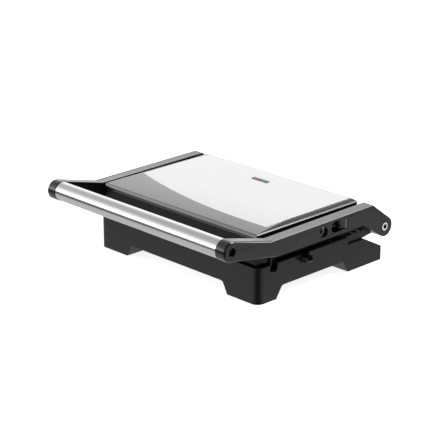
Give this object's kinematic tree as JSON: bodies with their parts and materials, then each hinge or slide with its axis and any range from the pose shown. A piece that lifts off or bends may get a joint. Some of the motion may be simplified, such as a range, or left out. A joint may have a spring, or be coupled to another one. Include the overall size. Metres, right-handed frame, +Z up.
{
  "type": "panini press",
  "caption": "Closed contact grill: a floating lid with a steel panel between two side arms joined by a tubular handle, on a legged base with ribbed plates.",
  "frame": {"origin": "middle of the footprint on the surface that the feet stand on", "axes": "+X to the user's right along the handle, -Y to the front where the handle is, +Z up"},
  "size_m": [0.279, 0.2577, 0.0884],
  "materials": {
    "black_plastic": "satin moulded black plastic",
    "gloss_black": "gloss black plastic",
    "grey_plastic": "silver-grey painted plastic",
    "brushed_steel": "brushed stainless steel",
    "coated_plate": "black non-stick coating on cast aluminium",
    "bright_steel": "bright plated steel",
    "black_steel": "blackened steel",
    "plated_sheet": "plated sheet steel",
    "element_sheath": "heat-darkened steel",
    "ceramic": "unglazed ceramic",
    "rubber": "matt black rubber",
    "red_lens": "red lamp lens",
    "green_lens": "green lamp lens"
  },
  "bodies": {
    "base": {"base_housing": "black_plastic", "base_bottom_cover": "black_plastic", "bottom_cover_screws": "bright_steel", "rubber_feet": "rubber", "cord_inlet_bush": "black_plastic", "lower_grill_plate": "coated_plate", "lower_plate_screws": "bright_steel", "lower_heating_element": "element_sheath", "lower_element_clamps": "bright_steel", "lower_heat_shield": "plated_sheet", "lower_thermostat": "bright_steel", "thermal_fuse": "element_sheath", "terminal_block": "ceramic", "terminal_screws": "bright_steel", "hinge_bracket_right": "black_plastic", "hinge_bracket_left": "black_plastic", "hinge_bracket_screws": "bright_steel", "hinge_pin_right": "bright_steel", "hinge_pin_left": "bright_steel", "hinge_nuts": "bright_steel", "hinge_bushes": "black_plastic", "hinge_detent_disc": "bright_steel"},
    "arms": {"right_arm": "black_plastic", "left_arm": "black_plastic", "right_arm_cover": "black_plastic", "left_arm_cover": "black_plastic", "arm_cover_screws": "bright_steel", "handle_tube": "brushed_steel", "handle_core_rod": "black_plastic", "handle_screws": "black_steel", "release_guide_pin": "bright_steel"},
    "release": {"release_slider": "black_plastic", "release_spring": "bright_steel", "release_pawl_rod": "bright_steel"},
    "lid": {"lid_top_cover": "grey_plastic", "lid_steel_panel": "brushed_steel", "lid_lower_housing": "black_plastic", "lid_cover_screws": "bright_steel", "upper_grill_plate": "coated_plate", "upper_plate_screws": "bright_steel", "upper_heating_element": "element_sheath", "upper_element_clamps": "bright_steel", "upper_heat_shield": "plated_sheet", "upper_thermostat": "bright_steel", "lid_pivot_pin_right": "bright_steel", "lid_pivot_pin_left": "bright_steel", "lid_pivot_bushes": "black_plastic", "lamp_bezel": "gloss_black", "power_lamp": "red_lens", "ready_lamp": "green_lens"}
  },
  "joints": [
    {"name": "arms_hinge", "type": "hinge", "parent": "base", "child": "arms", "pos_m": [0, 0.1172, 0.0456], "axis": [-1, 0, 0], "range_deg": [0, 180]},
    {"name": "lid_tilt", "type": "hinge", "parent": "arms", "child": "lid", "pos_m": [0, 0.0173, 0.0646], "axis": [1, 0, 0], "range_deg": [-1, 1]},
    {"name": "release_slide", "type": "slide", "parent": "arms", "child": "release", "axis": [0, -1, 0], "range_m": [0, 0.008], "stiffness_N_per_m": 300}
  ]
}
